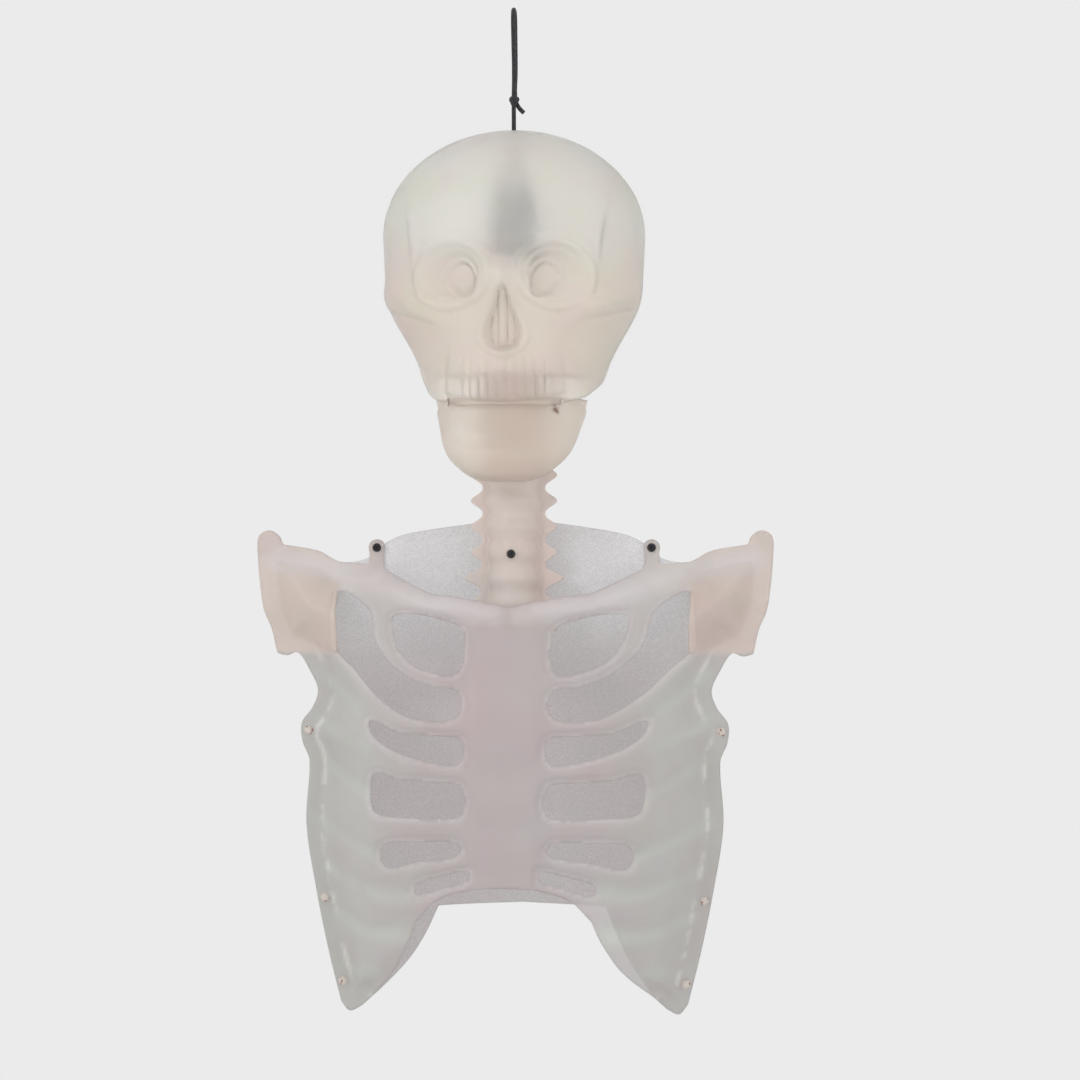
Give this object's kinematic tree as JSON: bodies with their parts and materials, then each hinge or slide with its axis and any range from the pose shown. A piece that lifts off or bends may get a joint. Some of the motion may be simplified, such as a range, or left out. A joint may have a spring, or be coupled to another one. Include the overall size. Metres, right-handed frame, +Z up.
{
  "type": "hanging skeleton half figure",
  "caption": "Hanging translucent skeleton bust: two-part skull with riveted jaw, ribbed neck, two-part rib cage with shoulder stumps, on a black cord loop.",
  "frame": {"origin": "top of the hanging cord's loop, where a hook carries it", "axes": "+Z up along the hanging line, the face looks along -Y, +X at the viewer's right"},
  "size_m": [0.3318, 0.1444, 0.6401],
  "materials": {
    "skull_sheet": "frosted translucent formed sheet, creamy, glossy on creases",
    "cage_sheet": "frosted translucent formed sheet, cool grey pink",
    "insert_sheet": "frosted formed sheet, warmer",
    "rivet_metal": "dull rivet with rust specks",
    "dark_screw": "black oxide",
    "black_cord": "braided black cord",
    "dark_plastic": "dark moulded plastic",
    "cell_steel": "plated cell",
    "contact_metal": "plated spring metal",
    "board_green": "circuit board",
    "lamp_lens": "clear lamp body"
  },
  "bodies": {
    "head": {"skull_face_shell": "skull_sheet", "skull_back_shell": "skull_sheet", "jaw_rivets": "rivet_metal", "hanging_cord": "black_cord", "cord_knot": "black_cord", "stop_knot": "black_cord", "light_housing": "dark_plastic", "battery_cap": "dark_plastic", "button_cells": "cell_steel", "battery_contacts": "contact_metal", "lamp_board": "board_green", "led_lamp": "lamp_lens"},
    "jaw": {"jaw_shell": "skull_sheet"},
    "torso": {"neck_front_shell": "cage_sheet", "neck_back_shell": "cage_sheet", "neck_screw": "dark_screw", "neck_nut": "dark_screw", "rib_cage_front": "cage_sheet", "rib_cage_back": "cage_sheet", "shoulder_insert_left": "insert_sheet", "shoulder_insert_right": "insert_sheet", "collar_screws": "dark_screw", "collar_nuts": "dark_screw", "seam_rivets": "rivet_metal"},
    "switch": {"switch_slider": "dark_plastic"}
  },
  "joints": [
    {"name": "jaw_swing", "type": "hinge", "parent": "head", "child": "jaw", "pos_m": [0, -0.05, -0.253], "axis": [1, 0, 0], "range_deg": [0, 10]},
    {"name": "neck_swivel", "type": "hinge", "parent": "head", "child": "torso", "pos_m": [0, 0, -0.236], "axis": [0, 0, 1], "continuous": true},
    {"name": "switch_slide", "type": "slide", "parent": "head", "child": "switch", "axis": [1, 0, 0], "range_m": [0, 0.003]}
  ]
}
